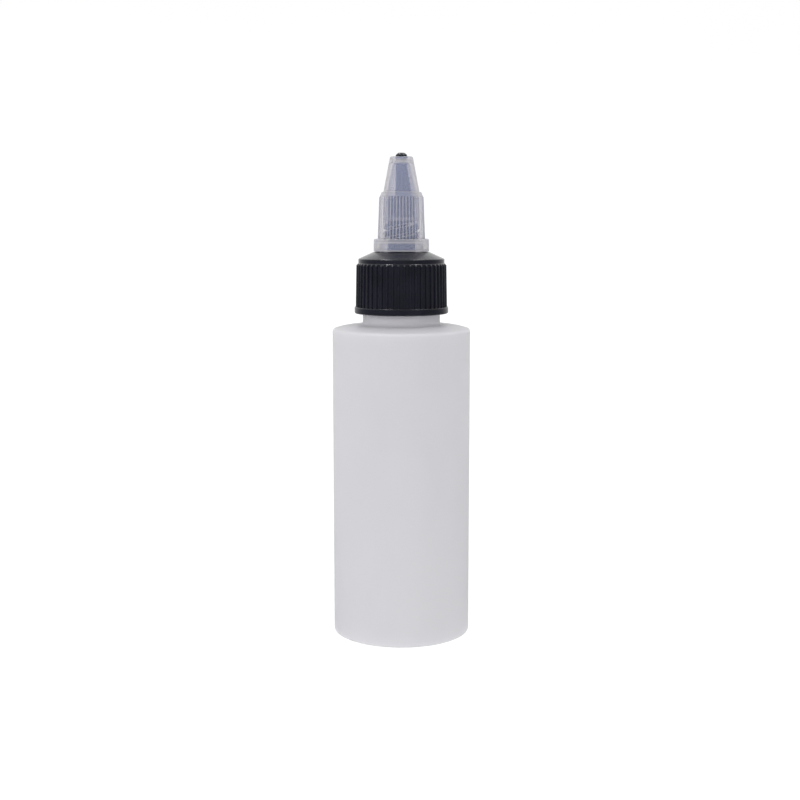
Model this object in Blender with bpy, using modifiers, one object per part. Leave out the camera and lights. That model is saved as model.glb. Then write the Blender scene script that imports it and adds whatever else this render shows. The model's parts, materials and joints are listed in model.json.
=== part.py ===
"""Squeeze bottle with a twist-top dispensing cap.

A cylinder-round bottle stands on the ground plane, its axis on +Z. A ribbed cap base screws on its neck over
a soft washer, and carries a threaded tower and a sealing post. A twist spout screws down over the tower, and
the post's tip closes its orifice. Lengths are in metres.
"""

import math

import bmesh
import bpy
from mathutils import Matrix, Vector

MM = 0.001

# Bottle
BODY_RADIUS = 17.5 * MM
WALL = 1.0 * MM
BODY_TOP = 78.0 * MM  # where the cylinder meets the shoulder's rounded edge
SHOULDER_TOP = 79.65 * MM  # foot of the neck's fillet
BASE_EDGE = 0.6 * MM  # radius of the rounded edge
SHOULDER_EDGE = 0.8 * MM
NECK_FILLET = 0.8 * MM
STANDING_RING_INNER = 14.6 * MM
PUSH_UP = 1.65 * MM  # height of the base's hollow at its centre
COLLAR_RADIUS = 9.8 * MM
COLLAR_TOP = 83.6 * MM
NECK_RADIUS = 8.85 * MM
NECK_BORE = 7.4 * MM
MOUTH = 94.0 * MM

# Neck thread, right-handed, eight turns to the inch
NECK_PITCH = 3.175 * MM
NECK_TURNS = 1.5
NECK_THREAD_CREST = 9.8 * MM
NECK_THREAD_START = 86.6 * MM
CAP_THREAD_CREST = 9.08 * MM
CAP_THREAD_LIFT = 0.2 * MM  # the tightened cap's thread bears up against the neck's

# Cap base
CAP_BOTTOM = 82.5 * MM
CAP_BORE = 10.1 * MM
CAP_ROOF = 95.15 * MM  # underside, over the washer
BEAD_RADIUS = 11.9 * MM
BEAD_TOP = 84.2 * MM
RIB_TOP = 95.1 * MM
RIB_CREST_BOTTOM = 11.6 * MM
RIB_CREST_TOP = 11.4 * MM
RIB_HEIGHT = 0.38 * MM
RIB_COUNT = 48
RIM_RADIUS = 10.9 * MM
RIM_TOP = 96.25 * MM
DECK_TOP = 98.0 * MM
DECK_FLAT = 7.0 * MM  # radius of the flat ring that the spout rests on
TOWER_RADIUS = 3.5 * MM
TOWER_BORE = 2.5 * MM
TOWER_TOP = 112.0 * MM
STOP_BEAD = 0.32 * MM  # how far the stop bead stands out of the tower
STOP_BEAD_Z = 110.35 * MM
POST_RADIUS = 1.45 * MM
POST_FOOT = 106.5 * MM
POST_TIP = 122.7 * MM
WEB_COUNT = 3
WEB_THICKNESS = 0.7 * MM
WEB_REACH = 2.7 * MM  # radius of the webs' outer edge just over the tower
WEB_TOP = 119.6 * MM

# Washer
LINER_BORE = 6.6 * MM
LINER_RADIUS = 9.9 * MM
LINER_GAP = 0.1 * MM

# Spout thread, right-handed, two starts
SPOUT_LEAD = 4.7 * MM
SPOUT_STARTS = 2
TOWER_THREAD_CREST = 4.25 * MM
TOWER_THREAD_START = 101.6 * MM
TOWER_THREAD_TURNS = 0.8
SPOUT_THREAD_CREST = 3.7 * MM
SPOUT_THREAD_START = 101.2 * MM
SPOUT_THREAD_TURNS = 0.7

# Spout
SPOUT_BOTTOM = 98.15 * MM
SPOUT_TOP = 121.7 * MM
FLANGE_RADIUS = 7.0 * MM
FLANGE_TOP = 101.25 * MM
FLANGE_BORE = 5.6 * MM
GRIP_TOP = 111.8 * MM
GRIP_CREST_BOTTOM = 5.97 * MM
GRIP_CREST_TOP = 5.56 * MM
GRIP_RIB_HEIGHT = 0.16 * MM
GRIP_RIB_COUNT = 44
SPOUT_BORE = 4.5 * MM
CONE_FOOT_RADIUS = 4.53 * MM
CONE_FOOT = 113.0 * MM
CONE_TOP_RADIUS = 2.85 * MM
ORIFICE_RADIUS = 1.52 * MM
ORIFICE_FOOT = 120.3 * MM

# Seal lip inside the spout
LIP_BOTTOM = 105.8 * MM
LIP_TOP = 106.65 * MM
LIP_CLEARANCE = 0.08 * MM  # to the tower
LIP_GAP = 0.05 * MM  # to the spout's bore

# Roundness and fits
BOTTLE_STEPS = 48
CAP_STEPS = 48
SPOUT_STEPS = 36
ARC_STEPS = 3
THREAD_EMBED = 0.25 * MM  # how deep a thread's root sits in its wall
THREAD_RUN_OUT = 30.0  # degrees over which a thread fades at each end
MERGE = 0.000001


def clear_scene():
    for obj in list(bpy.data.objects):
        bpy.data.objects.remove(obj, do_unlink=True)


def new_collection(name):
    collection = bpy.data.collections.new(name)
    bpy.context.scene.collection.children.link(collection)
    return collection


def plastic(name, color, roughness, transmission=0.0):
    material = bpy.data.materials.new(name)
    material.use_nodes = True
    shader = material.node_tree.nodes["Principled BSDF"]
    shader.inputs["Base Color"].default_value = (*color, 1.0)
    shader.inputs["Roughness"].default_value = roughness
    shader.inputs["Metallic"].default_value = 0.0
    shader.inputs["Transmission Weight"].default_value = transmission
    shader.inputs["IOR"].default_value = 1.5
    return material


def add_mesh_object(name, mesh, collection):
    obj = bpy.data.objects.new(name, mesh)
    collection.objects.link(obj)
    return obj


def arc(center_r, center_z, radius, start_deg, end_deg, steps=ARC_STEPS):
    """Points (radius, height) along an arc, angles counted from +r towards +z."""
    points = []
    for i in range(steps + 1):
        angle = math.radians(start_deg + (end_deg - start_deg) * i / steps)
        points.append((center_r + radius * math.cos(angle), center_z + radius * math.sin(angle)))
    return points


def dome(inner, outer, steps=ARC_STEPS):
    """Points from inner (r, z) to outer (r, z) on a parabola that is level at its inner end."""
    points = []
    for i in range(steps + 1):
        t = i / steps
        r = inner[0] + (outer[0] - inner[0]) * t
        points.append((r, inner[1] + (outer[1] - inner[1]) * t * t))
    return points


def turned(name, profile, collection, steps, closed):
    """A turned solid. The profile runs down its outer side; a closed one goes round a ring's section."""
    edges = [(i, i + 1) for i in range(len(profile) - 1)]
    if closed:
        edges.append((len(profile) - 1, 0))
    mesh = bpy.data.meshes.new(name)
    mesh.from_pydata([(r, 0.0, z) for r, z in profile], edges, [])
    obj = add_mesh_object(name, mesh, collection)
    screw = obj.modifiers.new("Turn", "SCREW")
    screw.axis = "Z"
    screw.angle = math.tau
    screw.steps = steps
    screw.render_steps = steps
    screw.use_smooth_shade = True
    screw.use_merge_vertices = True
    screw.merge_threshold = MERGE
    return obj


def mark_guide(obj):
    obj.hide_render = True
    obj.display_type = "WIRE"
    return obj


def join_solid(obj, guide):
    """Unites obj with a guide solid."""
    boolean = obj.modifiers.new("Join " + guide.name, "BOOLEAN")
    boolean.operation = "UNION"
    boolean.solver = "EXACT"
    boolean.object = guide
    return obj


def thread_section(angle, height, wall, crest, root_width, crest_width, share):
    """The four corners of a thread's section at one angle; share is how much of its height it has."""
    outward = 1.0 if crest > wall else -1.0
    root = wall - outward * THREAD_EMBED
    tip = root + (crest - root) * share
    corners = ((root, -root_width), (tip, -crest_width), (tip, crest_width), (root, root_width))
    direction = Vector((math.cos(angle), math.sin(angle), 0.0))
    return [direction * radius + Vector((0.0, 0.0, height + width / 2)) for radius, width in corners]


def thread_ridge(name, wall, crest, widths, start_angle, turns, start_z, lead, steps, collection):
    """A helical ridge on a wall of that radius, lofted between sections that fade out at both ends."""
    count = round(turns * steps)
    run_out = THREAD_RUN_OUT / 360.0 * steps
    least = 0.6 * THREAD_EMBED / (THREAD_EMBED + abs(crest - wall))
    bm = bmesh.new()
    rings = []
    for i in range(count + 1):
        fade = min(1.0, i / run_out, (count - i) / run_out)
        angle = start_angle + math.tau * i / steps
        height = start_z + lead * i / steps
        share = least + (1.0 - least) * fade
        corners = thread_section(angle, height, wall, crest, *widths, share)
        rings.append([bm.verts.new(corner) for corner in corners])
    for low, high in zip(rings, rings[1:]):
        for k in range(4):
            bm.faces.new((low[k], low[(k + 1) % 4], high[(k + 1) % 4], high[k]))
    bm.faces.new(rings[0])
    bm.faces.new(rings[-1])
    bmesh.ops.recalc_face_normals(bm, faces=bm.faces)
    mesh = bpy.data.meshes.new(name)
    bm.to_mesh(mesh)
    bm.free()
    return mark_guide(add_mesh_object(name, mesh, collection))


def rib_outline(root, crest, count):
    """Points of a ribbed outline: each rib's crest takes about half of the pitch."""
    shape = ((0.0, 0.0), (0.2, 0.0), (0.36, 1.0), (0.84, 1.0))
    points = []
    for rib in range(count):
        for place, share in shape:
            angle = math.tau * (rib + place) / count
            radius = root + (crest - root) * share
            points.append((radius * math.cos(angle), radius * math.sin(angle)))
    return points


def circle_outline(radius, count):
    angles = [math.tau * i / count for i in range(count)]
    return [(radius * math.cos(a), radius * math.sin(a)) for a in angles]


def flat_curve(name, outlines, thickness, collection):
    """A filled 2D curve of closed outlines, extruded to a thickness about its own plane."""
    curve = bpy.data.curves.new(name, "CURVE")
    curve.dimensions = "2D"
    curve.fill_mode = "BOTH"
    curve.extrude = thickness / 2
    for outline in outlines:
        spline = curve.splines.new("POLY")
        spline.points.add(len(outline) - 1)
        spline.use_cyclic_u = True
        for point, (x, y) in zip(spline.points, outline):
            point.co = (x, y, 0.0, 1.0)
    obj = bpy.data.objects.new(name, curve)
    collection.objects.link(obj)
    return obj


def curve_to_solid(curve_object, transform, collection):
    """The curve's welded mesh, moved by transform, as a guide; the curve is removed."""
    bpy.context.view_layer.update()
    graph = bpy.context.evaluated_depsgraph_get()
    mesh = bpy.data.meshes.new_from_object(curve_object.evaluated_get(graph))
    name = curve_object.name
    bpy.data.objects.remove(curve_object, do_unlink=True)
    bm = bmesh.new()
    bm.from_mesh(mesh)
    bmesh.ops.remove_doubles(bm, verts=bm.verts, dist=MERGE)
    bmesh.ops.recalc_face_normals(bm, faces=bm.faces)
    bm.to_mesh(mesh)
    bm.free()
    mesh.transform(transform)
    return mark_guide(add_mesh_object(name, mesh, collection))


def ribbed_sleeve(name, root, crest, bore, bottom, top, count, collection):
    """A sleeve with ribs along its outside."""
    outlines = [rib_outline(root, crest, count), circle_outline(bore, count)]
    curve = flat_curve(name, outlines, top - bottom, collection)
    return curve_to_solid(curve, Matrix.Translation((0.0, 0.0, (bottom + top) / 2)), collection)


def taper(obj, bottom, top, bottom_scale, top_scale):
    """Scales a solid's sections about the Z axis, evenly from one height to another."""
    for vertex in obj.data.vertices:
        share = (vertex.co.z - bottom) / (top - bottom)
        scale = bottom_scale + (top_scale - bottom_scale) * share
        vertex.co.x *= scale
        vertex.co.y *= scale


def bottle_outer_base():
    points = arc(BODY_RADIUS - BASE_EDGE, BASE_EDGE, BASE_EDGE, 0, -90)
    points.append((STANDING_RING_INNER, 0.0))
    ramp = STANDING_RING_INNER - 1.2 * MM
    points += reversed(dome((0.0, PUSH_UP), (ramp, 0.8 * MM)))
    return points


def bottle_inner_base():
    ramp = STANDING_RING_INNER - 1.2 * MM
    floor = dome((0.0, PUSH_UP + WALL), (ramp, 0.8 * MM + WALL))
    corner = BODY_RADIUS - WALL
    corner_radius = 1.4 * MM
    return floor + arc(corner - corner_radius, WALL + corner_radius, corner_radius, -90, 0)


def bottle_inner_top():
    inner_wall = BODY_RADIUS - WALL
    shoulder_foot = (COLLAR_RADIUS - 0.3 * MM, SHOULDER_TOP - WALL)
    shoulder_edge = (inner_wall - 0.5 * MM, BODY_TOP - 0.35 * MM)
    points = [(inner_wall, BODY_TOP - 0.9 * MM)]
    points += reversed(dome(shoulder_foot, shoulder_edge))
    points.append((COLLAR_RADIUS - 1.35 * MM, SHOULDER_TOP - 0.2 * MM))
    points.append((COLLAR_RADIUS - 1.35 * MM, COLLAR_TOP - 1.2 * MM))
    points.append((NECK_BORE, COLLAR_TOP))
    points.append((NECK_BORE, MOUTH - 0.2 * MM))
    points.append((NECK_BORE + 0.2 * MM, MOUTH))
    return points


def bottle_outer_top():
    points = [(NECK_RADIUS - 0.3 * MM, MOUTH), (NECK_RADIUS, MOUTH - 0.3 * MM)]
    points.append((NECK_RADIUS, COLLAR_TOP + 0.4 * MM))
    points.append((COLLAR_RADIUS, COLLAR_TOP))
    foot = COLLAR_RADIUS + NECK_FILLET
    points += arc(foot, SHOULDER_TOP + NECK_FILLET, NECK_FILLET, 180, 270, 3)[:-1]
    edge = arc(BODY_RADIUS - SHOULDER_EDGE, BODY_TOP, SHOULDER_EDGE, 75, 0)
    points += dome((foot, SHOULDER_TOP), edge[0])[:-1]
    points += edge
    return points


def make_bottle(parts, guides):
    profile = bottle_inner_base() + bottle_inner_top() + bottle_outer_top() + bottle_outer_base()
    bottle = turned("bottle", profile, parts, BOTTLE_STEPS, closed=False)
    widths = (1.5 * MM, 0.6 * MM)
    ridge = thread_ridge(
        "neck_thread", NECK_RADIUS, NECK_THREAD_CREST, widths, 0.0, NECK_TURNS,
        NECK_THREAD_START, NECK_PITCH, BOTTLE_STEPS, guides,
    )
    join_solid(bottle, ridge)
    bottle.data.materials.append(plastic("natural_polyethylene", (0.66, 0.66, 0.69), 0.42, 0.2))
    return bottle


def make_liner(parts):
    top = CAP_ROOF - LINER_GAP
    bottom = MOUTH + LINER_GAP
    profile = [(LINER_BORE, top), (LINER_RADIUS, top), (LINER_RADIUS, bottom), (LINER_BORE, bottom)]
    liner = turned("neck_liner", profile, parts, CAP_STEPS, closed=True)
    liner.data.materials.append(plastic("foamed_polyethylene", (0.8, 0.8, 0.78), 0.7))
    return liner


def cap_outer_profile():
    """From the tower's top down to the bottom of the skirt."""
    points = [(TOWER_BORE, TOWER_TOP), (TOWER_RADIUS - 0.3 * MM, TOWER_TOP)]
    points.append((TOWER_RADIUS, TOWER_TOP - 0.3 * MM))
    points.append((TOWER_RADIUS, STOP_BEAD_Z + 0.4 * MM))
    points.append((TOWER_RADIUS + STOP_BEAD, STOP_BEAD_Z + 0.1 * MM))
    points.append((TOWER_RADIUS + STOP_BEAD, STOP_BEAD_Z - 0.1 * MM))
    points.append((TOWER_RADIUS, STOP_BEAD_Z - 0.4 * MM))
    points.append((TOWER_RADIUS, DECK_TOP))
    points.append((DECK_FLAT, DECK_TOP))
    points += arc(RIM_RADIUS - 0.4 * MM, RIM_TOP - 0.4 * MM, 0.4 * MM, 67, 0, 3)
    points.append((RIM_RADIUS, RIB_TOP))
    points.append((RIB_CREST_BOTTOM - RIB_HEIGHT - 0.1 * MM, BEAD_TOP + 0.3 * MM))
    points += arc(BEAD_RADIUS - 0.3 * MM, BEAD_TOP - 0.3 * MM, 0.3 * MM, 90, 0, 2)
    points += arc(BEAD_RADIUS - 0.4 * MM, CAP_BOTTOM + 0.4 * MM, 0.4 * MM, 0, -90, 2)
    return points


def cap_inner_profile():
    """From the skirt's mouth up to the tower's bore."""
    return [
        (CAP_BORE + 0.4 * MM, CAP_BOTTOM),
        (CAP_BORE, CAP_BOTTOM + 0.4 * MM),
        (CAP_BORE, CAP_ROOF),
        (LINER_BORE, CAP_ROOF),
        (LINER_BORE - 0.7 * MM, CAP_ROOF + 1.1 * MM),
        (TOWER_BORE + 0.6 * MM, CAP_ROOF + 1.3 * MM),
        (TOWER_BORE, CAP_ROOF + 1.9 * MM),
    ]


def make_post(guides):
    foot = [(0.0, POST_FOOT), (POST_RADIUS - 0.5 * MM, POST_FOOT), (POST_RADIUS, POST_FOOT + 0.8 * MM)]
    tip_edge = 0.6 * MM
    tip = arc(POST_RADIUS - tip_edge, POST_TIP - tip_edge - 0.1 * MM, tip_edge, 0, 80)
    profile = [(0.0, POST_TIP)] + tip[::-1] + foot[::-1]
    return mark_guide(turned("sealing_post", profile, guides, SPOUT_STEPS, closed=False))


def make_web(index, guides):
    """One upright web from the post out to the tower's wall, and up the post as a tapered fin."""
    embedded = (TOWER_BORE + TOWER_RADIUS) / 2
    outline = [
        (0.0, POST_FOOT + 0.4 * MM),
        (embedded, POST_FOOT + 0.4 * MM),
        (embedded, TOWER_TOP - 0.4 * MM),
        (WEB_REACH, TOWER_TOP - 0.2 * MM),
        (WEB_REACH, TOWER_TOP + 0.1 * MM),
        (POST_RADIUS - 0.05 * MM, WEB_TOP),
        (0.0, WEB_TOP),
    ]
    curve = flat_curve("web_%d" % index, [outline], WEB_THICKNESS, guides)
    upright = Matrix.Rotation(math.radians(90.0), 4, "X")
    turn = Matrix.Rotation(math.radians(360.0 * index / WEB_COUNT), 4, "Z")
    return curve_to_solid(curve, turn @ upright, guides)


def add_cap_thread(cap, guides):
    """The cap's thread lies half a pitch under the neck's, lifted until it bears on it."""
    start = NECK_THREAD_START - NECK_PITCH / 2 + CAP_THREAD_LIFT
    ridge = thread_ridge(
        "cap_thread", CAP_BORE, CAP_THREAD_CREST, (1.4 * MM, 0.6 * MM), 0.0, NECK_TURNS,
        start, NECK_PITCH, CAP_STEPS, guides,
    )
    join_solid(cap, ridge)


def add_tower_threads(cap, guides):
    for start in range(SPOUT_STARTS):
        ridge = thread_ridge(
            "tower_thread_%d" % start, TOWER_RADIUS, TOWER_THREAD_CREST, (0.95 * MM, 0.45 * MM),
            math.tau * start / SPOUT_STARTS, TOWER_THREAD_TURNS, TOWER_THREAD_START, SPOUT_LEAD,
            SPOUT_STEPS, guides,
        )
        join_solid(cap, ridge)


def make_cap_base(parts, guides):
    profile = cap_outer_profile() + cap_inner_profile()
    cap = turned("cap_base", profile, parts, CAP_STEPS, closed=True)
    root = RIB_CREST_BOTTOM - RIB_HEIGHT
    bore = root - 0.5 * MM
    bottom = BEAD_TOP - 0.3 * MM
    sleeve = ribbed_sleeve("skirt_ribs", root, RIB_CREST_BOTTOM, bore, bottom, RIB_TOP, RIB_COUNT, guides)
    taper(sleeve, bottom, RIB_TOP, 1.0, RIB_CREST_TOP / RIB_CREST_BOTTOM)
    join_solid(cap, sleeve)
    add_cap_thread(cap, guides)
    add_tower_threads(cap, guides)
    for index in range(WEB_COUNT):
        join_solid(cap, make_web(index, guides))
    join_solid(cap, make_post(guides))
    cap.data.materials.append(plastic("black_polypropylene", (0.012, 0.012, 0.014), 0.28))
    return cap


def grip_wall_radius(share):
    """Radius of the turned wall that the grip's ribs stand on; share goes from 0, low, to 1, high."""
    crest = GRIP_CREST_BOTTOM + (GRIP_CREST_TOP - GRIP_CREST_BOTTOM) * share
    return crest - GRIP_RIB_HEIGHT - 0.08 * MM


def spout_outer_profile():
    """From the orifice down to the flange's underside."""
    points = [(ORIFICE_RADIUS, SPOUT_TOP)]
    points += arc(CONE_TOP_RADIUS - 0.35 * MM, SPOUT_TOP - 0.35 * MM, 0.35 * MM, 90, 10, 3)
    points.append((CONE_FOOT_RADIUS, CONE_FOOT))
    points.append((CONE_FOOT_RADIUS + 0.5 * MM, CONE_FOOT - 0.15 * MM))
    points.append((CONE_FOOT_RADIUS + 0.67 * MM, CONE_FOOT - 0.6 * MM))
    points.append((GRIP_CREST_TOP - 0.08 * MM, GRIP_TOP + 0.1 * MM))
    points.append((GRIP_CREST_TOP - 0.08 * MM, GRIP_TOP))
    points.append((grip_wall_radius(1.0), GRIP_TOP - 0.1 * MM))
    points.append((grip_wall_radius(0.0), FLANGE_TOP))
    points.append((FLANGE_RADIUS - 0.2 * MM, FLANGE_TOP))
    points.append((FLANGE_RADIUS, FLANGE_TOP - 0.2 * MM))
    points.append((FLANGE_RADIUS, SPOUT_BOTTOM + 0.15 * MM))
    points.append((FLANGE_RADIUS - 0.15 * MM, SPOUT_BOTTOM))
    return points


def spout_inner_profile():
    """From the flange's hollow up to the orifice."""
    return [
        (FLANGE_BORE, SPOUT_BOTTOM),
        (FLANGE_BORE, SPOUT_BOTTOM + 1.7 * MM),
        (FLANGE_BORE - 0.2 * MM, SPOUT_BOTTOM + 1.9 * MM),
        (SPOUT_BORE, SPOUT_BOTTOM + 2.2 * MM),
        (SPOUT_BORE, GRIP_TOP - 0.4 * MM),
        (CONE_FOOT_RADIUS - 0.85 * MM, CONE_FOOT - 0.3 * MM),
        (CONE_TOP_RADIUS - 0.75 * MM, ORIFICE_FOOT - 0.4 * MM),
        (ORIFICE_RADIUS, ORIFICE_FOOT),
    ]


def add_spout_threads(spout, guides):
    """The spout's ridges run midway between the tower's."""
    midway = TOWER_THREAD_START - SPOUT_LEAD / SPOUT_STARTS / 2
    turn = math.tau * (SPOUT_THREAD_START - midway) / SPOUT_LEAD
    for start in range(SPOUT_STARTS):
        ridge = thread_ridge(
            "spout_thread_%d" % start, SPOUT_BORE, SPOUT_THREAD_CREST, (0.95 * MM, 0.45 * MM),
            math.tau * start / SPOUT_STARTS + turn, SPOUT_THREAD_TURNS, SPOUT_THREAD_START,
            SPOUT_LEAD, SPOUT_STEPS, guides,
        )
        join_solid(spout, ridge)


def make_spout(parts, guides):
    profile = spout_outer_profile() + spout_inner_profile()
    spout = turned("spout", profile, parts, SPOUT_STEPS, closed=True)
    root = GRIP_CREST_BOTTOM - GRIP_RIB_HEIGHT
    bore = SPOUT_BORE + 0.5 * MM
    bottom = FLANGE_TOP - 0.3 * MM
    sleeve = ribbed_sleeve("grip_ribs", root, GRIP_CREST_BOTTOM, bore, bottom, GRIP_TOP, GRIP_RIB_COUNT, guides)
    taper(sleeve, bottom, GRIP_TOP, 1.0, GRIP_CREST_TOP / GRIP_CREST_BOTTOM)
    join_solid(spout, sleeve)
    add_spout_threads(spout, guides)
    spout.data.materials.append(plastic("natural_polypropylene", (0.78, 0.78, 0.82), 0.2, 0.6))
    return spout


def make_seal_lip(parts):
    bore = TOWER_RADIUS + LIP_CLEARANCE
    outer = SPOUT_BORE - LIP_GAP
    profile = [(bore + 0.25 * MM, LIP_TOP), (outer, LIP_TOP), (outer, LIP_BOTTOM), (bore, LIP_BOTTOM)]
    profile.append((bore, LIP_BOTTOM + 0.35 * MM))
    lip = turned("spout_seal_lip", profile, parts, SPOUT_STEPS, closed=True)
    lip.data.materials.append(plastic("natural_polypropylene_lip", (0.78, 0.78, 0.82), 0.25, 0.5))
    return lip


def main():
    clear_scene()
    parts = new_collection("twist_top_squeeze_bottle")
    guides = new_collection("guides")
    make_bottle(parts, guides)
    make_liner(parts)
    make_cap_base(parts, guides)
    make_spout(parts, guides)
    make_seal_lip(parts)


main()
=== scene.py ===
"""The looks of a twist-top squeeze bottle: fine turned shells, ribs, threads and plastics on the CAD frame.

The object is round, so its pieces are lathed about the frame's Z axis. Shapes are worked out in millimetres
and stored in metres. An outline is a list of corners (radius, height, rounding), and a row is a plain
(radius, height). The lights and the camera stand round the object, in metres.
"""

import json
import math
from dataclasses import dataclass

import bmesh
import bpy
import numpy as np
from mathutils import Euler, Matrix, Vector


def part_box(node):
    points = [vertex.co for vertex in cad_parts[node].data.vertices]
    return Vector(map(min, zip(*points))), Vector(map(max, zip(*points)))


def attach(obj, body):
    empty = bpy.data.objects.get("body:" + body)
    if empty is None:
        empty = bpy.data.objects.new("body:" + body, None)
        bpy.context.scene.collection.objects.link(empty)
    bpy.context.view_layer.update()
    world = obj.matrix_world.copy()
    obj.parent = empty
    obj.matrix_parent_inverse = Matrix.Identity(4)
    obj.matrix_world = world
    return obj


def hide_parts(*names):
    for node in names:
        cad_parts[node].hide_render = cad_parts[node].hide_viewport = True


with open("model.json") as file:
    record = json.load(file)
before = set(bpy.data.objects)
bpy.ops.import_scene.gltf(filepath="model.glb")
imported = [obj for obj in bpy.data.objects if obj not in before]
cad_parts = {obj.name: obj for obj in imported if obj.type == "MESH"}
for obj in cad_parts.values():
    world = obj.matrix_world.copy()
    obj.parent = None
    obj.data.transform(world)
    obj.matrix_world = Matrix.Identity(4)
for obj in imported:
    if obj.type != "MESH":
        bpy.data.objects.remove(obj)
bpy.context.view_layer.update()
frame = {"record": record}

MM = 0.001

# Points round a turned piece that has no ribs
BOTTLE_STEPS = 256
RING_STEPS = 160
POST_STEPS = 96
STAGE_STEPS = 96


def node_size(node):
    """A CAD node's outer radius, lowest height and highest height in mm."""
    low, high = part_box(node)
    return [round(value / MM, 3) for value in (high[0], low[2], high[2])]


def screw_lead(hinge):
    """How far in mm a screw joint moves along its axis in one turn of its hinge."""
    couplings = frame["record"]["behaviour"]["couplings"]
    radians_per_metre = [row["ratio"] for row in couplings if row["joint"] == hinge][0]
    return round(math.tau / radians_per_metre / MM, 3)


# ---------------------------------------------------------------- sizes

# What the frame says
BODY_RADIUS, STAND, MOUTH = node_size("bottle")
BEAD_RADIUS, CAP_BOTTOM, POST_TIP = node_size("cap_base")
LINER_RADIUS, LINER_BOTTOM, LINER_TOP = node_size("neck_liner")
FLANGE_RADIUS, SPOUT_BOTTOM, SPOUT_TOP = node_size("spout")
LIP_RADIUS, LIP_BOTTOM, LIP_TOP = node_size("spout_seal_lip")

# Bottle
WALL = 1.0
PUSH_UP = 1.65  # height of the hollow under the base at its centre
STANDING_RING = 14.6  # inner radius of the ring that the bottle stands on
SHOULDER_TOP = 79.65  # foot of the collar
COLLAR_RADIUS = 9.8
COLLAR_BORE = 8.45
COLLAR_TOP = 83.6
NECK_RADIUS = 8.85
NECK_BORE = 7.4
DOME = 3.0  # rounding that makes one dome of several slopes

# Cap base
CAP_BORE = 10.1
CAP_ROOF = 95.15
SKIRT_FOOT = 84.2
SKIRT_FOOT_RADIUS = 11.22
SKIRT_TOP = 95.08
SKIRT_TOP_RADIUS = 11.02
SKIRT_RADII = (SKIRT_TOP_RADIUS - 0.07, SKIRT_FOOT_RADIUS + 0.08)  # the skirt's rows lie between these two
SKIRT_RIBS = 48
SKIRT_RIB_HEIGHT = 0.38
SKIRT_RIB_BEVEL = 0.45  # height of the slope at a rib's top
SKIRT_RIB_WIDTH = 0.46  # of its pitch
RIM_RADIUS = 10.9
RIM_TOP = 96.25
DECK_TOP = 98.0
DECK_FLAT = 7.0  # radius of the flat ring under the spout
TOWER_RADIUS = 3.5
TOWER_BORE = 2.5
TOWER_TOP = 112.0
STOP_BEAD = 0.32  # how far the stop bead stands out of the tower
STOP_BEAD_HEIGHT = 110.35
POST_RADIUS = 1.45
POST_FOOT = 106.5
WEBS = 3
WEB_THICKNESS = 0.7
WEB_FOOT = 106.9
WEB_REACH = 2.7
WEB_TOP = 119.6
WEB_BEVEL = 0.12

# Washer under the cap's roof
LINER_BORE = 6.6
LINER_EDGE = 0.15

# Spout
FLANGE_TOP = 101.25
FLANGE_BORE = 5.6
FLANGE_HOLLOW = 100.35
GRIP_FOOT = 101.2
GRIP_TOP = 111.8
GRIP_FOOT_RADIUS = 5.81
GRIP_TOP_RADIUS = 5.4
GRIP_RADII = (GRIP_TOP_RADIUS - 0.04, GRIP_FOOT_RADIUS + 0.04)  # the grip's rows lie between these two
GRIP_RIBS = 44
GRIP_RIB_HEIGHT = 0.17
GRIP_RIB_CREST = 0.1  # half widths of a rib's crest and foot, in half pitches
GRIP_RIB_FOOT = 0.58
GRIP_RIB_END = 0.3  # over which a rib rounds off at its top
SPOUT_BORE = 4.5
CONE_FOOT = 113.0
CONE_FOOT_RADIUS = 4.53
CONE_TOP_RADIUS = 2.86
CONE_WALL = 0.8
ORIFICE_RADIUS = 1.52
ORIFICE_FOOT = 120.3
LIP_CLEARANCE = 0.08  # between the seal lip and the tower

# Heights at which there is more or less of the spout's plastic to look through
FLANGE_RIM = 98.55
FLANGE_WEB_FOOT = 100.2
FLANGE_WEB_TOP = 100.6
THREAD_END = 106.6
ORIFICE_START = 120.2
ORIFICE_FACE = 121.0

# How much more haze there is than a plain wall's: from extra plastic, and on the thread flanks and grip ribs
# also from painted highlight lines
FLANGE_RIM_PLASTIC = 0.5
FLANGE_WALL_PLASTIC = 0.12
FLANGE_WEB_PLASTIC = 0.6
FLANGE_TOP_PLASTIC = 0.3
THREAD_FLANK_HIGHLIGHT = 1.6  # painted highlight lines, greatest in the middle of a ridge's flank
BORE_PLASTIC = 0.08
LEDGE_PLASTIC = 0.15
ORIFICE_PLASTIC = 0.6
FACE_PLASTIC = 0.1
RIB_HAZE_AND_HIGHLIGHT = 2.6  # times a grip rib's height: its own plastic, raised to paint bright highlight lines
LIP_PLASTIC = 0.35


# ---------------------------------------------------------------- screw threads

@dataclass
class Thread:
    """A screw thread on an upright wall, in mm and turns. A ridge of negative height stands inward."""
    foot: float  # height at which it starts
    lead: float
    turns: float
    height: float
    root_width: float
    crest_width: float
    rows: tuple  # lowest height, highest height and spacing of the mesh's rows for it
    starts: int = 1
    angle: float = 0.0  # at which its first ridge starts


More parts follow.
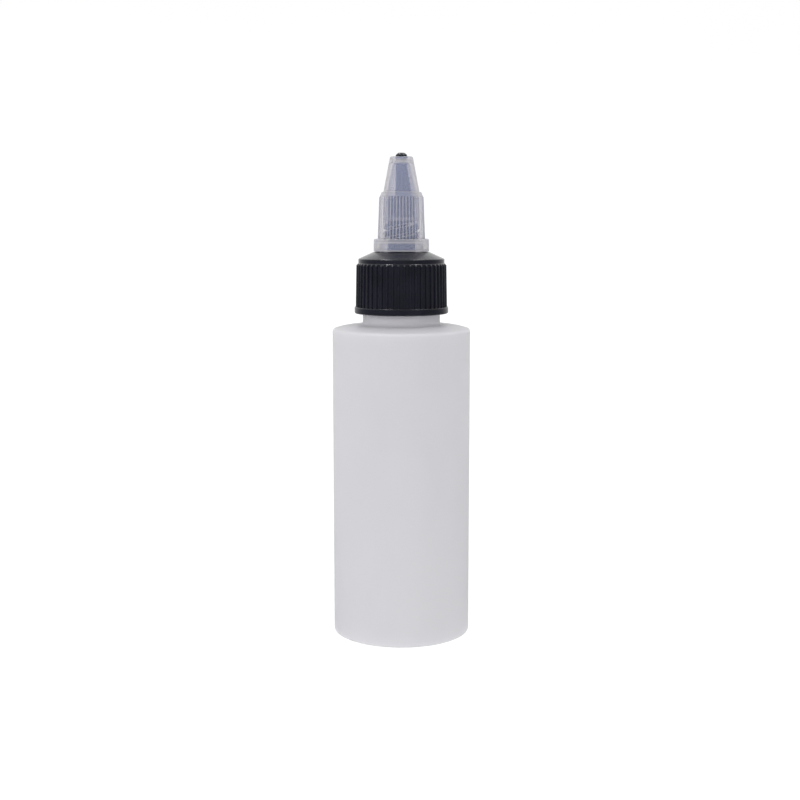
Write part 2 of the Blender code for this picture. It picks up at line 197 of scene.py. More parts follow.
NECK_LEAD = screw_lead("cap_twist")
SPOUT_LEAD = screw_lead("spout_twist")
NECK_THREAD = Thread(foot=86.6, lead=NECK_LEAD, turns=1.5, height=0.95, root_width=1.5, crest_width=0.5,
                     rows=(85.4, 92.9, 0.12))
CAP_THREAD_LIFT = 0.2  # the tightened cap's ridge bears up against the neck's
CAP_THREAD = Thread(foot=NECK_THREAD.foot + CAP_THREAD_LIFT - NECK_LEAD / 2, lead=NECK_LEAD, turns=1.5,
                    height=-1.02, root_width=1.4, crest_width=0.5, rows=(SKIRT_FOOT, 91.2, 0.35))
TOWER_THREAD = Thread(foot=101.6, lead=SPOUT_LEAD, turns=0.8, height=0.75, root_width=0.95,
                      crest_width=0.4, rows=(100.9, 106.1, 0.13), starts=2, angle=math.radians(-42))
SPOUT_THREAD = Thread(foot=101.2, lead=SPOUT_LEAD, turns=0.84, height=-0.8, root_width=0.95,
                      crest_width=0.4, rows=(100.6, 105.7, 0.09), starts=2)
# The spout's ridges run midway between the tower's two
RIDGE_OFFSET = SPOUT_THREAD.foot - TOWER_THREAD.foot + SPOUT_LEAD / 4
SPOUT_THREAD.angle = TOWER_THREAD.angle + math.tau * RIDGE_OFFSET / SPOUT_LEAD
THREAD_RUN_OUT = 30 / 360  # turns over which a ridge fades at each end


def smooth_step(low, high, value):
    t = np.clip((value - low) / (high - low), 0.0, 1.0)
    return t * t * (3 - 2 * t)


def ridge(thread, start_angle, angles, z):
    """Share, 0 to 1, of a thread's height that one of its ridges reaches at these angles and this height."""
    share = np.zeros_like(angles)
    for lap in range(-1, math.ceil(thread.turns) + 1):
        turn = (angles - start_angle) / math.tau % 1.0 + lap
        offset = np.abs(z - thread.foot - thread.lead * turn)
        ends = smooth_step(0.0, THREAD_RUN_OUT, np.minimum(turn, thread.turns - turn))
        flank = 1 - smooth_step(thread.crest_width / 2, thread.root_width / 2, offset)
        valid = (turn >= 0) & (turn <= thread.turns)
        share = np.maximum(share, np.where(valid, ends * flank, 0.0))
    return share


def thread_relief(thread, angles, z):
    """How far a thread stands out of its wall at these angles and this height."""
    start_angles = [thread.angle + math.tau * k / thread.starts for k in range(thread.starts)]
    return thread.height * np.max([ridge(thread, start, angles, z) for start in start_angles], axis=0)


# ---------------------------------------------------------------- ribs

def rib_place(angles, count):
    """Distance from the middle of the nearest rib, in half pitches."""
    return np.abs((angles * count / math.tau) % 1.0 - 0.5) * 2


def flat_ribs(angles, count, crest, foot):
    """Height, 0 to 1, of evenly spaced ribs with a flat crest and soft flanks."""
    return 1.0 - smooth_step(crest, foot, rib_place(angles, count))


def round_ribs(angles, count, half_width):
    """Height, 0 to 1, of evenly spaced ribs with a round section."""
    return np.sqrt(np.clip(1 - (rib_place(angles, count) / half_width) ** 2, 0.0, 1.0))


def even_angles(count):
    return np.linspace(0, math.tau, count, endpoint=False)


def rib_angles(count, offsets):
    """Angles round a circle, with the same points at each rib, offset in rib pitches from its middle."""
    return np.array([(k + 0.5 + offset) * math.tau / count for k in range(count) for offset in offsets])


def rib_rows(low, high):
    """Heights that are close together where ribs round off at their ends, and far apart between."""
    steps = (0.03, 0.08, 0.15, 0.24, 0.34, 0.45, 0.6)
    middle = [low + (high - low) * k / 5 for k in (1, 2, 3, 4)]
    return [low + step for step in steps] + middle + [high - step for step in steps]


# ---------------------------------------------------------------- turned meshes

ARC_STEP = math.radians(15)
ARC_LIMIT = 10  # steps in one rounded corner
STRAIGHT = math.radians(89.5)  # half the angle of a corner that needs no rounding
LONGEST_REACH = 0.48  # share of a side that a rounding may take
LONG_STRETCH = 2.0  # shorter stretches get no extra rows
NEAR = 0.02
SMOOTH_ANGLE = math.radians(45)


def corner_arc(before, corner, after, radius):
    """Points of a rounded corner of an outline."""
    a = Vector(before) - Vector(corner)
    b = Vector(after) - Vector(corner)
    half = a.angle(b) / 2
    if half > STRAIGHT or radius <= 0:
        return [tuple(corner)]
    reach = min(radius / math.tan(half), LONGEST_REACH * a.length, LONGEST_REACH * b.length)
    radius = reach * math.tan(half)
    middle = Vector(corner) + (a.normalized() + b.normalized()).normalized() * radius / math.sin(half)
    start = Vector(corner) + a.normalized() * reach - middle
    end = Vector(corner) + b.normalized() * reach - middle
    sweep = start.angle_signed(end)
    count = max(2, min(ARC_LIMIT, math.ceil(abs(sweep) / ARC_STEP)))
    spokes = [Matrix.Rotation(-sweep * i / count, 2) @ start for i in range(count + 1)]
    return [tuple(middle + spoke) for spoke in spokes]


def rounded(outline, closed):
    """The rows of an outline whose corners are rounded."""
    rows = []
    last = len(outline) - 1
    for i, (r, z, radius) in enumerate(outline):
        if not closed and i in (0, last):
            rows.append((r, z))
            continue
        rows += corner_arc(outline[i - 1][:2], (r, z), outline[(i + 1) % len(outline)][:2], radius)
    return rows


def is_near(r, radius):
    return abs(r - radius) < NEAR


def near(radius):
    return radius - NEAR, radius + NEAR


def evenly(low, high, spacing):
    return list(np.linspace(low, high, math.ceil((high - low) / spacing) + 1))


def with_rows(rows, radii, heights):
    """Adds rows at these heights on the long stretch whose radii lie between these two."""
    out = []
    for (r, z), (next_r, next_z) in zip(rows, rows[1:] + rows[:1]):
        out.append((r, z))
        inside = radii[0] < min(r, next_r) and max(r, next_r) < radii[1]
        if not inside or abs(z - next_z) < LONG_STRETCH:
            continue
        low, high = sorted((z, next_z))
        places = sorted((place for place in heights if low < place < high), reverse=next_z < z)
        out += [(r + (next_r - r) * (place - z) / (next_z - z), place) for place in places]
    return out


def new_object(mesh):
    obj = bpy.data.objects.new(mesh.name, mesh)
    bpy.context.scene.collection.objects.link(obj)
    return obj


def band(upper, lower):
    """The faces between two rings of points, where a ring on the axis is one point repeated."""
    faces = []
    for k in range(len(upper)):
        n = (k + 1) % len(upper)
        corners = list(dict.fromkeys([upper[k], lower[k], lower[n], upper[n]]))
        if len(corners) > 2:
            faces.append(corners)
    return faces


def lathe(name, rows, angles, closed, relief=None, haze_of_plastic_and_highlights=None):
    """A turned mesh. relief(angles, r, z) gives how far each point of a row stands out, and the other
    function, of (r, z, raised), the extra haze there from extra plastic or painted highlight lines, which the
    mesh keeps in metres as an attribute."""
    verts = []
    rings = []
    plastic_and_highlight_haze = []
    for r, z in rows:
        if r == 0:
            rings.append([len(verts)] * len(angles))
            verts.append((0.0, 0.0, z * MM))
            plastic_and_highlight_haze.append(0.0)
            continue
        raised = np.zeros(len(angles)) + (relief(angles, r, z) if relief else 0.0)
        extra = np.zeros(len(angles)) + (haze_of_plastic_and_highlights(r, z, raised) if haze_of_plastic_and_highlights else 0.0)
        radii = (r + raised) * MM
        rings.append(list(range(len(verts), len(verts) + len(angles))))
        verts += list(zip(radii * np.cos(angles), radii * np.sin(angles), np.full(len(angles), z * MM)))
        plastic_and_highlight_haze += list(extra * MM)
    lower_rings = rings[1:] + (rings[:1] if closed else [])
    faces = [face for upper, lower in zip(rings, lower_rings) for face in band(upper, lower)]
    mesh = bpy.data.meshes.new(name)
    mesh.from_pydata(verts, [], faces)
    mesh.attributes.new("plastic_and_highlight_haze", "FLOAT", "POINT").data.foreach_set("value", plastic_and_highlight_haze)
    mesh.update()
    return new_object(mesh)


def unite(obj, others):
    """Joins closed solids into obj, and removes the others."""
    for other in others:
        modifier = obj.modifiers.new("join", "BOOLEAN")
        modifier.operation = "UNION"
        modifier.solver = "MANIFOLD"
        modifier.object = other
    bpy.context.view_layer.update()
    graph = bpy.context.evaluated_depsgraph_get()
    mesh = bpy.data.meshes.new_from_object(obj.evaluated_get(graph))
    mesh.name = obj.name
    obj.modifiers.clear()
    obj.data = mesh
    for other in others:
        bpy.data.objects.remove(other, do_unlink=True)


def finish_piece(obj, body, material, node):
    """Smooths a piece, gives it its material, and puts it on a body in place of a CAD node."""
    obj.data.shade_smooth()
    obj.data.set_sharp_from_angle(angle=SMOOTH_ANGLE)
    normals = obj.modifiers.new("even normals", "WEIGHTED_NORMAL")
    normals.keep_sharp = True
    obj.data.materials.clear()
    obj.data.materials.append(material)
    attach(obj, body)
    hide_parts(node)


# ---------------------------------------------------------------- materials

def new_material(name):
    material = bpy.data.materials.new(name)
    material.use_nodes = True
    tree = material.node_tree
    return material, tree, tree.nodes["Principled BSDF"]


def noise(tree, scale, detail, stretch=(1.0, 1.0, 1.0)):
    """A noise texture in the object's own coordinates."""
    where = tree.nodes.new("ShaderNodeTexCoord")
    mapping = tree.nodes.new("ShaderNodeMapping")
    mapping.inputs["Scale"].default_value = stretch
    texture = tree.nodes.new("ShaderNodeTexNoise")
    texture.inputs["Scale"].default_value = scale
    texture.inputs["Detail"].default_value = detail
    tree.links.new(where.outputs["Object"], mapping.inputs["Vector"])
    tree.links.new(mapping.outputs["Vector"], texture.inputs["Vector"])
    return texture.outputs["Fac"]


NOISE_LOW = 0.3  # nearly all of a noise lies between these two
NOISE_HIGH = 0.7


def set_colour(tree, shader, value, low, high):
    """Runs the base colour between two colours over the middle of a noise's range."""
    node = tree.nodes.new("ShaderNodeValToRGB")
    for element, place, colour in zip(node.color_ramp.elements, (NOISE_LOW, NOISE_HIGH), (low, high)):
        element.position = place
        element.color = (*colour, 1)
    tree.links.new(value, node.inputs["Fac"])
    tree.links.new(node.outputs["Color"], shader.inputs["Base Color"])


def set_roughness(tree, shader, value, low, high):
    """Runs the roughness from low to high over the middle of a noise's range."""
    node = tree.nodes.new("ShaderNodeMapRange")
    node.inputs["From Min"].default_value = NOISE_LOW
    node.inputs["From Max"].default_value = NOISE_HIGH
    node.inputs["To Min"].default_value = low
    node.inputs["To Max"].default_value = high
    tree.links.new(value, node.inputs["Value"])
    tree.links.new(node.outputs["Result"], shader.inputs["Roughness"])


def set_bump(tree, shader, value, depth):
    """Bumps the surface by a noise, to a depth in mm."""
    node = tree.nodes.new("ShaderNodeBump")
    node.inputs["Strength"].default_value = 1.0
    node.inputs["Distance"].default_value = depth * MM
    tree.links.new(value, node.inputs["Height"])
    tree.links.new(node.outputs["Normal"], shader.inputs["Normal"])


def bottle_material():
    """Milky plastic with faint upright clouds, and a skin that is slightly rough from the mould."""
    material, tree, shader = new_material("natural_polyethylene")
    cloud = noise(tree, scale=22.0, detail=3.0, stretch=(1.0, 1.0, 0.5))
    set_colour(tree, shader, cloud, (0.655, 0.65, 0.69), (0.69, 0.685, 0.715))
    set_roughness(tree, shader, noise(tree, scale=90.0, detail=2.0), 0.46, 0.56)
    set_bump(tree, shader, noise(tree, scale=320.0, detail=2.0, stretch=(1.0, 1.0, 0.25)), 0.02)
    shader.inputs["IOR"].default_value = 1.5
    shader.inputs["Specular IOR Level"].default_value = 0.25
    shader.inputs["Subsurface Weight"].default_value = 0.6
    shader.inputs["Subsurface Radius"].default_value = (1.0, 1.0, 1.0)
    shader.inputs["Subsurface Scale"].default_value = 3 * MM
    shader.inputs["Transmission Weight"].default_value = 0.15
    return material


def cap_material():
    """Glossy blue-black plastic."""
    material, tree, shader = new_material("black_polypropylene")
    cloud = noise(tree, scale=160.0, detail=3.0)
    set_colour(tree, shader, cloud, (0.006, 0.0065, 0.012), (0.010, 0.011, 0.019))
    set_roughness(tree, shader, noise(tree, scale=420.0, detail=3.0), 0.15, 0.24)
    set_bump(tree, shader, noise(tree, scale=900.0, detail=2.0), 0.004)
    shader.inputs["IOR"].default_value = 1.49
    return material


def liner_material():
    """White foam with fine cells."""
    material, tree, shader = new_material("foamed_polyethylene")
    cells = noise(tree, scale=1800.0, detail=4.0)
    set_colour(tree, shader, cells, (0.66, 0.66, 0.64), (0.82, 0.82, 0.80))
    set_roughness(tree, shader, cells, 0.6, 0.8)
    set_bump(tree, shader, cells, 0.04)
    return material


THIN_HAZE = (0.54, 0.61, 0.92)  # the blue veil of a thin wall over something dark
THICK_HAZE = (0.51, 0.51, 0.57)
CLEAR_TINT = (0.92, 0.9, 0.87)  # of the light that comes straight through
WALL_HAZE = 0.19  # how much a plain wall clouds what is behind it
HAZE_PER_METRE = 1200.0  # how much more each metre of extra plastic clouds it
HAZE_CLOUD = 0.2
LEAST_COSINE = 0.2  # of the slant at which a surface is seen


def math_node(tree, operation, *values):
    """A math node whose inputs are numbers or other nodes' outputs."""
    node = tree.nodes.new("ShaderNodeMath")
    node.operation = operation
    for socket, value in zip(node.inputs, values):
        if isinstance(value, (int, float)):
            socket.default_value = value
        else:
            tree.links.new(value, socket)
    return node.outputs["Value"]


def haze_depth(tree):
    """How much a wall clouds what is behind it, which is more where the mesh has more plastic or a painted
    highlight line.
    """
    plastic_and_highlight_haze = tree.nodes.new("ShaderNodeAttribute")
    plastic_and_highlight_haze.attribute_name = "plastic_and_highlight_haze"
    return math_node(tree, "MULTIPLY_ADD", plastic_and_highlight_haze.outputs["Fac"], HAZE_PER_METRE, WALL_HAZE)


def slanted(tree, depth):
    """The same depth along the line of sight, longer where the surface is seen at a slant."""
    slant = tree.nodes.new("ShaderNodeLayerWeight")
    slant.inputs["Blend"].default_value = 0.5
    cosine = math_node(tree, "SUBTRACT", 1.0, slant.outputs["Facing"])
    return math_node(tree, "DIVIDE", depth, math_node(tree, "MAXIMUM", cosine, LEAST_COSINE))


def let_through(tree, shader, path):
    """Lets light straight through the shader's surface, less of it where its path in the plastic is long."""
    clear = math_node(tree, "EXPONENT", math_node(tree, "MULTIPLY", path, -1.0))
    through = tree.nodes.new("ShaderNodeBsdfTransparent")
    through.inputs["Color"].default_value = (*CLEAR_TINT, 1)
    mix = tree.nodes.new("ShaderNodeMixShader")
    tree.links.new(clear, mix.inputs["Fac"])
    tree.links.new(shader.outputs["BSDF"], mix.inputs[1])
    tree.links.new(through.outputs["BSDF"], mix.inputs[2])
    tree.links.new(mix.outputs["Shader"], tree.nodes["Material Output"].inputs["Surface"])


def spout_material():
    """Hazy plastic that shows the tower and the post behind it."""
    material, tree, shader = new_material("natural_polypropylene")
    path = slanted(tree, haze_depth(tree))
    cloud = math_node(tree, "MULTIPLY_ADD", noise(tree, scale=60.0, detail=2.0), HAZE_CLOUD, path)
    set_colour(tree, shader, cloud, THIN_HAZE, THICK_HAZE)
    set_roughness(tree, shader, noise(tree, scale=300.0, detail=2.0), 0.25, 0.35)
    set_bump(tree, shader, noise(tree, scale=500.0, detail=1.0), 0.003)
    shader.inputs["IOR"].default_value = 1.49
    shader.inputs["Specular IOR Level"].default_value = 0.5
    let_through(tree, shader, path)
    return material


# ---------------------------------------------------------------- bottle

def bottle_outline():
    """Inside from the floor's centre up to the mouth, then outside down to the middle of the base."""
    floor = PUSH_UP + WALL
    bore = BODY_RADIUS - WALL
    roof = SHOULDER_TOP - WALL
    return [
        (0.0, floor, 0), (6.0, floor - 0.1, DOME), (11.5, floor - 0.55, DOME), (13.6, floor - 0.95, 1.0),
        (STANDING_RING + 0.3, WALL, 0.6), (bore, WALL, 1.3),
        (bore, roof - 1.15, 0.7), (14.2, roof - 0.35, DOME), (12.4, roof - 0.05, DOME),
        (COLLAR_BORE, roof + 0.05, 1.2), (COLLAR_BORE, COLLAR_TOP - 1.2, 0.5),
        (NECK_BORE, COLLAR_TOP, 0.5), (NECK_BORE, MOUTH, 0.2),
        (NECK_RADIUS, MOUTH, 0.3), (NECK_RADIUS, COLLAR_TOP + 0.4, 0.25),
        (COLLAR_RADIUS, COLLAR_TOP, 0.15), (COLLAR_RADIUS, SHOULDER_TOP, 0.8),
        (12.2, SHOULDER_TOP - 0.05, DOME), (13.75, SHOULDER_TOP - 0.22, DOME),
        (15.3, SHOULDER_TOP - 0.49, DOME), (BODY_RADIUS, SHOULDER_TOP - 1.08, 0.8), (BODY_RADIUS, STAND, 0.6),
        (STANDING_RING, STAND, 0.5), (13.4, PUSH_UP - 0.85, 0.8),
        (9.0, PUSH_UP - 0.35, DOME), (4.5, PUSH_UP - 0.1, DOME), (0.0, PUSH_UP, 0),
    ]


def bottle_relief(angles, r, z):
    return thread_relief(NECK_THREAD, angles, z) if is_near(r, NECK_RADIUS) else 0.0


def make_bottle(material):
    rows = rounded(bottle_outline(), closed=False)
    rows = with_rows(rows, near(NECK_RADIUS), evenly(*NECK_THREAD.rows))
    shell = lathe("bottle_shell", rows, even_angles(BOTTLE_STEPS), closed=False, relief=bottle_relief)
    finish_piece(shell, "bottle", material, "bottle")


def make_liner(material):
    outline = [
        (LINER_BORE, LINER_TOP, LINER_EDGE), (LINER_RADIUS, LINER_TOP, LINER_EDGE),
        (LINER_RADIUS, LINER_BOTTOM, LINER_EDGE), (LINER_BORE, LINER_BOTTOM, LINER_EDGE),
    ]
    liner = lathe("liner_ring", rounded(outline, closed=True), even_angles(RING_STEPS), closed=True)
    finish_piece(liner, "liner", material, "neck_liner")


# ---------------------------------------------------------------- cap base

def skirt_offsets():
    """Points in rib pitches: nine over each of the skirt's ribs, closer at its sides, and one between."""
    over_rib = [SKIRT_RIB_WIDTH / 2 * math.sin(a) for a in np.linspace(-math.pi / 2, math.pi / 2, 9)]
    return over_rib + [0.5]


def cap_outline():
    """Tower, deck, rim, skirt and bead down the outside, then up inside from the mouth to the bore."""
    return [
        (TOWER_BORE, TOWER_TOP, 0.1), (TOWER_RADIUS, TOWER_TOP, 0.3),
        (TOWER_RADIUS, STOP_BEAD_HEIGHT + 0.4, 0.1), (TOWER_RADIUS + STOP_BEAD, STOP_BEAD_HEIGHT + 0.1, 0.12),
        (TOWER_RADIUS + STOP_BEAD, STOP_BEAD_HEIGHT - 0.1, 0.12), (TOWER_RADIUS, STOP_BEAD_HEIGHT - 0.4, 0.1),
        (TOWER_RADIUS, DECK_TOP, 0.25), (DECK_FLAT, DECK_TOP, 0.25),
        (RIM_RADIUS, RIM_TOP, 0.35), (RIM_RADIUS, SKIRT_TOP + 0.12, 0.1),
        (SKIRT_TOP_RADIUS, SKIRT_TOP, 0.1), (SKIRT_FOOT_RADIUS, SKIRT_FOOT, 0.15),
        (BEAD_RADIUS, SKIRT_FOOT - 0.05, 0.2), (BEAD_RADIUS, CAP_BOTTOM, 0.4),
        (CAP_BORE + 0.4, CAP_BOTTOM, 0.1), (CAP_BORE, CAP_BOTTOM + 0.45, 0.2), (CAP_BORE, CAP_ROOF, 0.2),
        (LINER_BORE, CAP_ROOF, 0.15), (LINER_BORE - 0.7, CAP_ROOF + 1.1, 0.3),
        (TOWER_BORE + 0.6, CAP_ROOF + 1.3, 0.5), (TOWER_BORE, CAP_ROOF + 1.9, 0.3),
    ]


def cap_relief(angles, r, z):
    if SKIRT_RADII[0] < r < SKIRT_RADII[1] and z > SKIRT_FOOT - NEAR:
        height = SKIRT_RIB_HEIGHT * min(1.0, max(0.0, SKIRT_TOP - z) / SKIRT_RIB_BEVEL)
        return height * round_ribs(angles, SKIRT_RIBS, SKIRT_RIB_WIDTH)
    if is_near(r, CAP_BORE):
        return thread_relief(CAP_THREAD, angles, z)
    if is_near(r, TOWER_RADIUS):
        return thread_relief(TOWER_THREAD, angles, z)
    return 0.0


def make_post():
    """The sealing post, whose round tip closes the spout's orifice."""
    outline = [
        (0.0, POST_TIP, 0), (0.8, POST_TIP - 0.04, 0.5), (POST_RADIUS, POST_TIP - 0.55, 0.5),
        (POST_RADIUS, POST_FOOT + 0.8, 0.2), (POST_RADIUS - 0.5, POST_FOOT, 0.2), (0.0, POST_FOOT, 0),
    ]
    return lathe("post", rounded(outline, closed=False), even_angles(POST_STEPS), closed=False)


def is_outer_edge(edge):
    """Whether a web's edge runs along its outer side, on one of its two faces."""
    a, b = [vert.co for vert in edge.verts]
    return min(a.x, b.x) > 1.2 * MM and abs(a.y - b.y) < 0.1 * MM


def make_web(index):
    """An upright web from the post to the tower's wall, and a tapered fin over it."""
    inside_wall = (TOWER_BORE + TOWER_RADIUS) / 2
    outline = [
        (0.0, WEB_FOOT), (inside_wall, WEB_FOOT), (inside_wall, TOWER_TOP - 0.4),
        (WEB_REACH, TOWER_TOP - 0.2), (WEB_REACH, TOWER_TOP + 0.1),
        (POST_RADIUS - 0.05, WEB_TOP), (0.0, WEB_TOP),
    ]
    bm = bmesh.new()
    face = bm.faces.new([bm.verts.new((r * MM, -WEB_THICKNESS / 2 * MM, z * MM)) for r, z in outline])
    grown = bmesh.ops.extrude_face_region(bm, geom=[face])
    moved = [item for item in grown["geom"] if isinstance(item, bmesh.types.BMVert)]
    bmesh.ops.translate(bm, verts=moved, vec=(0.0, WEB_THICKNESS * MM, 0.0))
    outer = [edge for edge in bm.edges if is_outer_edge(edge)]
    bmesh.ops.bevel(bm, geom=outer, offset=WEB_BEVEL * MM, segments=3, affect="EDGES", profile=0.5)
    bmesh.ops.recalc_face_normals(bm, faces=bm.faces)
    mesh = bpy.data.meshes.new("web_%d" % index)
    bm.to_mesh(mesh)
    bm.free()
    mesh.transform(Matrix.Rotation(math.tau * index / WEBS, 4, "Z"))
    return new_object(mesh)


def make_cap(material):
    rows = rounded(cap_outline(), closed=True)
    rows = with_rows(rows, near(TOWER_RADIUS), evenly(*TOWER_THREAD.rows))
    rows = with_rows(rows, near(CAP_BORE), evenly(*CAP_THREAD.rows))
    rows = with_rows(rows, SKIRT_RADII, rib_rows(SKIRT_FOOT, SKIRT_TOP))
    angles = rib_angles(SKIRT_RIBS, skirt_offsets())
    shell = lathe("cap_base_shell", rows, angles, closed=True, relief=cap_relief)
    unite(shell, [make_post()] + [make_web(index) for index in range(WEBS)])
    finish_piece(shell, "cap", material, "cap_base")


# ---------------------------------------------------------------- spout

GRIP_OFFSETS = (-0.25, -0.19, -0.13, -0.06, 0.0, 0.06, 0.13, 0.19, 0.25, 0.42, 0.58)  # in rib pitches


def spout_outline():
    """Cone, grip and flange down the outside, then up inside from the flange's hollow to the orifice."""
    return [
        (ORIFICE_RADIUS, SPOUT_TOP, 0.1), (CONE_TOP_RADIUS, SPOUT_TOP, 0.35),
        (CONE_FOOT_RADIUS, CONE_FOOT, 0.12), (CONE_FOOT_RADIUS + 0.5, CONE_FOOT - 0.13, 0.12),
        (GRIP_TOP_RADIUS - 0.18, GRIP_TOP + 0.55, 0.12), (GRIP_TOP_RADIUS + 0.06, GRIP_TOP + 0.05, 0.12),
        (GRIP_TOP_RADIUS, GRIP_TOP - 0.02, 0.02),
        (GRIP_FOOT_RADIUS, FLANGE_TOP, 0.08), (FLANGE_RADIUS - 0.03, FLANGE_TOP, 0.25),
        (FLANGE_RADIUS + 0.02, SPOUT_BOTTOM, 0.15),
        (FLANGE_BORE, SPOUT_BOTTOM, 0.1), (FLANGE_BORE, FLANGE_HOLLOW - 0.4, 0.5),
        (SPOUT_BORE, FLANGE_HOLLOW, 0.15), (SPOUT_BORE, GRIP_TOP - 0.4, 0.2),
        (SPOUT_BORE - CONE_WALL, CONE_FOOT - 0.3, 0.2),
        (CONE_TOP_RADIUS - CONE_WALL + 0.04, ORIFICE_FOOT - 0.4, 0.3), (ORIFICE_RADIUS, ORIFICE_FOOT, 0.1),
    ]


def rib_end(z):
    """1 along a grip rib, which runs down into the flange, rounding off to 0 at its top."""
    left = min(1.0, (GRIP_TOP - z) / GRIP_RIB_END)
    return math.sqrt(1 - (1 - left) ** 2)


def spout_relief(angles, r, z):
    if GRIP_RADII[0] < r < GRIP_RADII[1] and GRIP_FOOT < z < GRIP_TOP:
        height = GRIP_RIB_HEIGHT * rib_end(z)
        return height * flat_ribs(angles, GRIP_RIBS, GRIP_RIB_CREST, GRIP_RIB_FOOT)
    if is_near(r, SPOUT_BORE):
        return thread_relief(SPOUT_THREAD, angles, z)
    return 0.0


def flange_solid(z):
    """The extra plastic of the flange: its rim, its wall, its web under the grip, and its top."""
    if z < FLANGE_RIM:
        return FLANGE_RIM_PLASTIC
    if z < FLANGE_WEB_FOOT:
        return FLANGE_WALL_PLASTIC
    return FLANGE_WEB_PLASTIC if z < FLANGE_WEB_TOP else FLANGE_TOP_PLASTIC


def core_haze_and_flank_highlights(z, raised):
    """The extra haze of the bore and the cone: a little for the bore's plastic, and painted highlight lines
    on the flanks of the thread's ridges.
    """
    if z > THREAD_END:
        return BORE_PLASTIC
    part = raised / SPOUT_THREAD.height
    # Painted highlight: the haze peaks halfway up each flank and is nil at crest and root, drawing two bright
    # lines per ridge
    return THREAD_FLANK_HIGHLIGHT * 4 * part * (1 - part)


def spout_haze_and_highlights(r, z, raised):
    """The extra haze of each part of the spout, as seen from outside: from its extra plastic, and from
    painted highlight lines on the thread flanks and grip ribs.
    """
    if z > ORIFICE_START:
        return FACE_PLASTIC if z > ORIFICE_FACE else ORIFICE_PLASTIC
    if r > FLANGE_RADIUS - 0.2:
        return flange_solid(z)
    if r < SPOUT_BORE + 0.1:
        return core_haze_and_flank_highlights(z, raised)
    # On the grip ribs the haze follows their height, raised past their real plastic to paint bright highlight
    # lines
    return LEDGE_PLASTIC if z > GRIP_TOP else RIB_HAZE_AND_HIGHLIGHT * raised


def spout_rows():
    """The spout's rows: more at its thread and its ribs, and on both sides of each change in its plastic."""
    cone_radii = (CONE_TOP_RADIUS, CONE_FOOT_RADIUS)
    cone_rows = [ORIFICE_START + step for step in (-0.2, 0.2)]
    bore_rows = evenly(*SPOUT_THREAD.rows) + [THREAD_END + step for step in (-0.1, 0.1)]
    changes = (FLANGE_RIM, FLANGE_WEB_FOOT, FLANGE_WEB_TOP)
    flange_radii = (FLANGE_RADIUS - 0.1, FLANGE_RADIUS + 0.1)
    flange_rows = [height + step for height in changes for step in (-0.05, 0.1)]
    rows = rounded(spout_outline(), closed=True)
    rows = with_rows(rows, cone_radii, cone_rows)
    rows = with_rows(rows, near(SPOUT_BORE), bore_rows)
    rows = with_rows(rows, flange_radii, flange_rows)
    return with_rows(rows, GRIP_RADII, rib_rows(GRIP_FOOT, GRIP_TOP))


def make_spout(material):
    angles = rib_angles(GRIP_RIBS, GRIP_OFFSETS)
    shell = lathe("spout_shell", spout_rows(), angles, closed=True, relief=spout_relief, haze_of_plastic_and_highlights=spout_haze_and_highlights)
    finish_piece(shell, "spout", material, "spout")


def lip_solid(r, z, raised):
    return LIP_PLASTIC


def make_lip(material):
    """The ring inside the spout that wipes the tower."""
    bore = TOWER_RADIUS + LIP_CLEARANCE
    outline = [
        (bore + 0.25, LIP_TOP, 0.1), (LIP_RADIUS, LIP_TOP, 0.05), (LIP_RADIUS, LIP_BOTTOM, 0.05),
        (bore, LIP_BOTTOM, 0.1), (bore, LIP_BOTTOM + 0.35, 0.1),
    ]
    rows = rounded(outline, closed=True)
    lip = lathe("seal_lip_ring", rows, even_angles(RING_STEPS), closed=True, haze_of_plastic_and_highlights=lip_solid)
    finish_piece(lip, "seal_lip", material, "spout_seal_lip")


# ---------------------------------------------------------------- stage

FLOOR_RADIUS = 1200.0  # the floor and its backdrop are lathed too, so they are in mm
SWEEP_START = 1600.0
SWEEP_RADIUS = 500.0
WALL_TOP = 3000.0
WORLD_FRONT = 0.17  # strength of the world's light from the photographer's side and from below
WORLD_BACK = 1.1  # and from behind the object and above it
WORLD_BRIGHT_WAY = (0.0, 0.6, 0.8)
WORLD_FULL = 0.9  # cosine to that way at which the light is at its strongest
CAMERA_DISTANCE = 0.3443  # from the bottle's axis
CAMERA_HEIGHT = 0.107
CAMERA_TILT = math.radians(7.742)  # downward
CAMERA_SENSOR = 36.0
CAMERA_LENS = 60.9435
CAMERA_SHIFT = -0.00175
OBJECT_MIDDLE = (0.0, 0.0, 0.07)


def paper_material():
    """Pale paper, bright enough to stay white where the lights don't reach."""
    material, tree, shader = new_material("pale_paper")
    set_colour(tree, shader, noise(tree, scale=3.0, detail=2.0), (0.1, 0.1, 0.1), (0.12, 0.12, 0.12))
    shader.inputs["Roughness"].default_value = 0.9
    shader.inputs["Emission Color"].default_value = (1, 1, 1, 1)
    shader.inputs["Emission Strength"].default_value = 0.95
    return material


def make_floor(material):
    """A round pale floor, and a backdrop that sweeps up around it and only the camera sees."""
    wall_radius = SWEEP_START + SWEEP_RADIUS
    sweep = [(SWEEP_START + SWEEP_RADIUS * math.sin(a), SWEEP_RADIUS * (1 - math.cos(a)))
             for a in np.linspace(math.pi / 2, 0, 16)]
    floor = lathe("floor", [(FLOOR_RADIUS, 0.0), (0.0, 0.0)], even_angles(STAGE_STEPS), closed=False)
    backdrop_rows = [(wall_radius, WALL_TOP)] + sweep + [(FLOOR_RADIUS, 0.0)]
    backdrop = lathe("backdrop", backdrop_rows, even_angles(STAGE_STEPS), closed=False)
    backdrop.visible_diffuse = False
    backdrop.visible_shadow = False
    for piece in (floor, backdrop):
        piece.visible_glossy = False
        piece.data.shade_smooth()
        piece.data.materials.append(material)


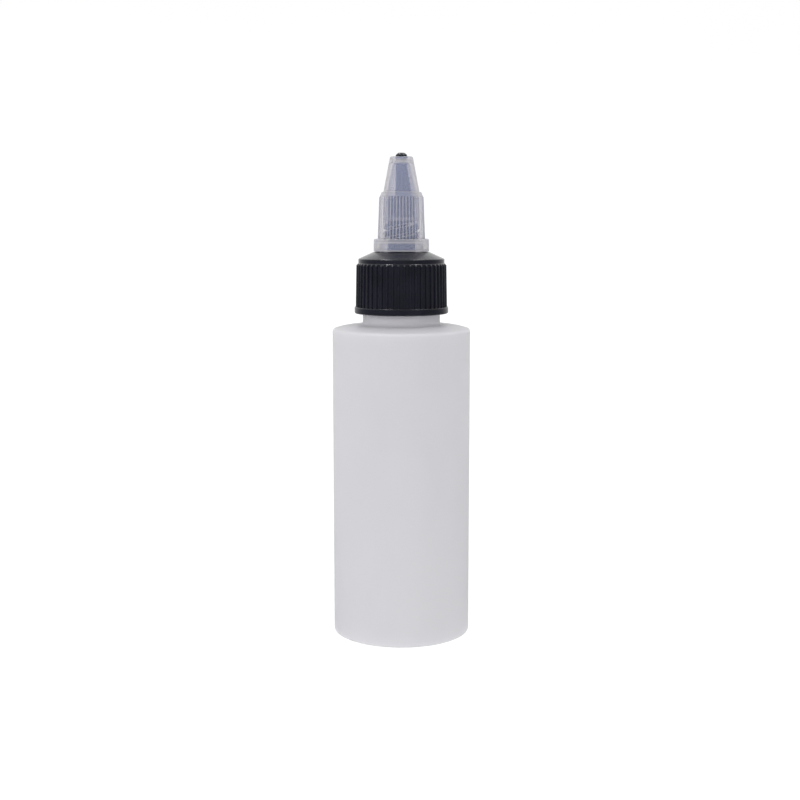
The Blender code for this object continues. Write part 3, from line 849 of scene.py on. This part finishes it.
def make_world():
    """Soft white light, strongest from behind the object and above it."""
    world = bpy.data.worlds.new("studio")
    world.use_nodes = True
    tree = world.node_tree
    where = tree.nodes.new("ShaderNodeTexCoord")
    toward = tree.nodes.new("ShaderNodeVectorMath")
    toward.operation = "DOT_PRODUCT"
    toward.inputs[1].default_value = WORLD_BRIGHT_WAY
    tree.links.new(where.outputs["Generated"], toward.inputs[0])
    shade = tree.nodes.new("ShaderNodeMapRange")
    shade.interpolation_type = "SMOOTHSTEP"
    shade.inputs["From Min"].default_value = 0.0
    shade.inputs["From Max"].default_value = WORLD_FULL
    shade.inputs["To Min"].default_value = WORLD_FRONT
    shade.inputs["To Max"].default_value = WORLD_BACK
    tree.links.new(toward.outputs["Value"], shade.inputs["Value"])
    tree.nodes["Background"].inputs["Color"].default_value = (1, 1, 1, 1)
    tree.links.new(shade.outputs["Result"], tree.nodes["Background"].inputs["Strength"])
    bpy.context.scene.world = world


def area_light(name, power, size, place, target, lights=True, shines=True):
    """A soft box. It lights what is matt, or shines in what is glossy, or both."""
    data = bpy.data.lights.new(name, "AREA")
    data.shape = "RECTANGLE"
    data.size, data.size_y = size
    data.energy = power
    light = bpy.data.objects.new(name, data)
    light.visible_diffuse = lights
    light.visible_glossy = shines
    light.location = place
    light.rotation_euler = (Vector(target) - Vector(place)).to_track_quat("-Z", "Y").to_euler()
    bpy.context.scene.collection.objects.link(light)


def make_lights():
    """Soft boxes round the object that only light it, and lamps over it that only shine in it."""
    area_light("left_softbox", 2.1, (0.25, 0.7), (-0.75, -0.4, 0.3), OBJECT_MIDDLE, shines=False)
    area_light("right_softbox", 1.5, (0.25, 0.7), (0.8, -0.35, 0.3), OBJECT_MIDDLE, shines=False)
    area_light("front_fill", 5.7, (1.2, 0.9), (-0.05, -1.0, 0.35), OBJECT_MIDDLE, shines=False)
    area_light("top_fill", 1.0, (1.6, 0.5), (0, 0, 0.95), (0, 0, 0), shines=False)
    area_light("ceiling", 6.5, (1.6, 0.5), (0, 0, 0.95), (0, 0, 0), lights=False)
    area_light("left_lamp", 2.6, (0.08, 0.5), (-0.29, 0.1, 0.93), (-0.29, 0.1, 0), lights=False)
    area_light("right_lamp", 1.6, (0.16, 0.5), (0.33, 0.1, 0.93), (0.33, 0.1, 0), lights=False)


def make_camera():
    data = bpy.data.cameras.new("camera")
    data.sensor_width = CAMERA_SENSOR
    data.lens = CAMERA_LENS
    data.shift_x = CAMERA_SHIFT
    data.clip_start = 0.01
    camera = bpy.data.objects.new("camera", data)
    camera.location = (0.0, -CAMERA_DISTANCE, CAMERA_HEIGHT)
    camera.rotation_euler = Euler((math.pi / 2 - CAMERA_TILT, 0.0, 0.0))
    bpy.context.scene.collection.objects.link(camera)
    bpy.context.scene.camera = camera


def main():
    spout_plastic = spout_material()
    make_bottle(bottle_material())
    make_liner(liner_material())
    make_cap(cap_material())
    make_spout(spout_plastic)
    make_lip(spout_plastic)
    make_floor(paper_material())
    make_world()
    make_lights()
    make_camera()
    bpy.context.scene.view_settings.view_transform = "Standard"


main()
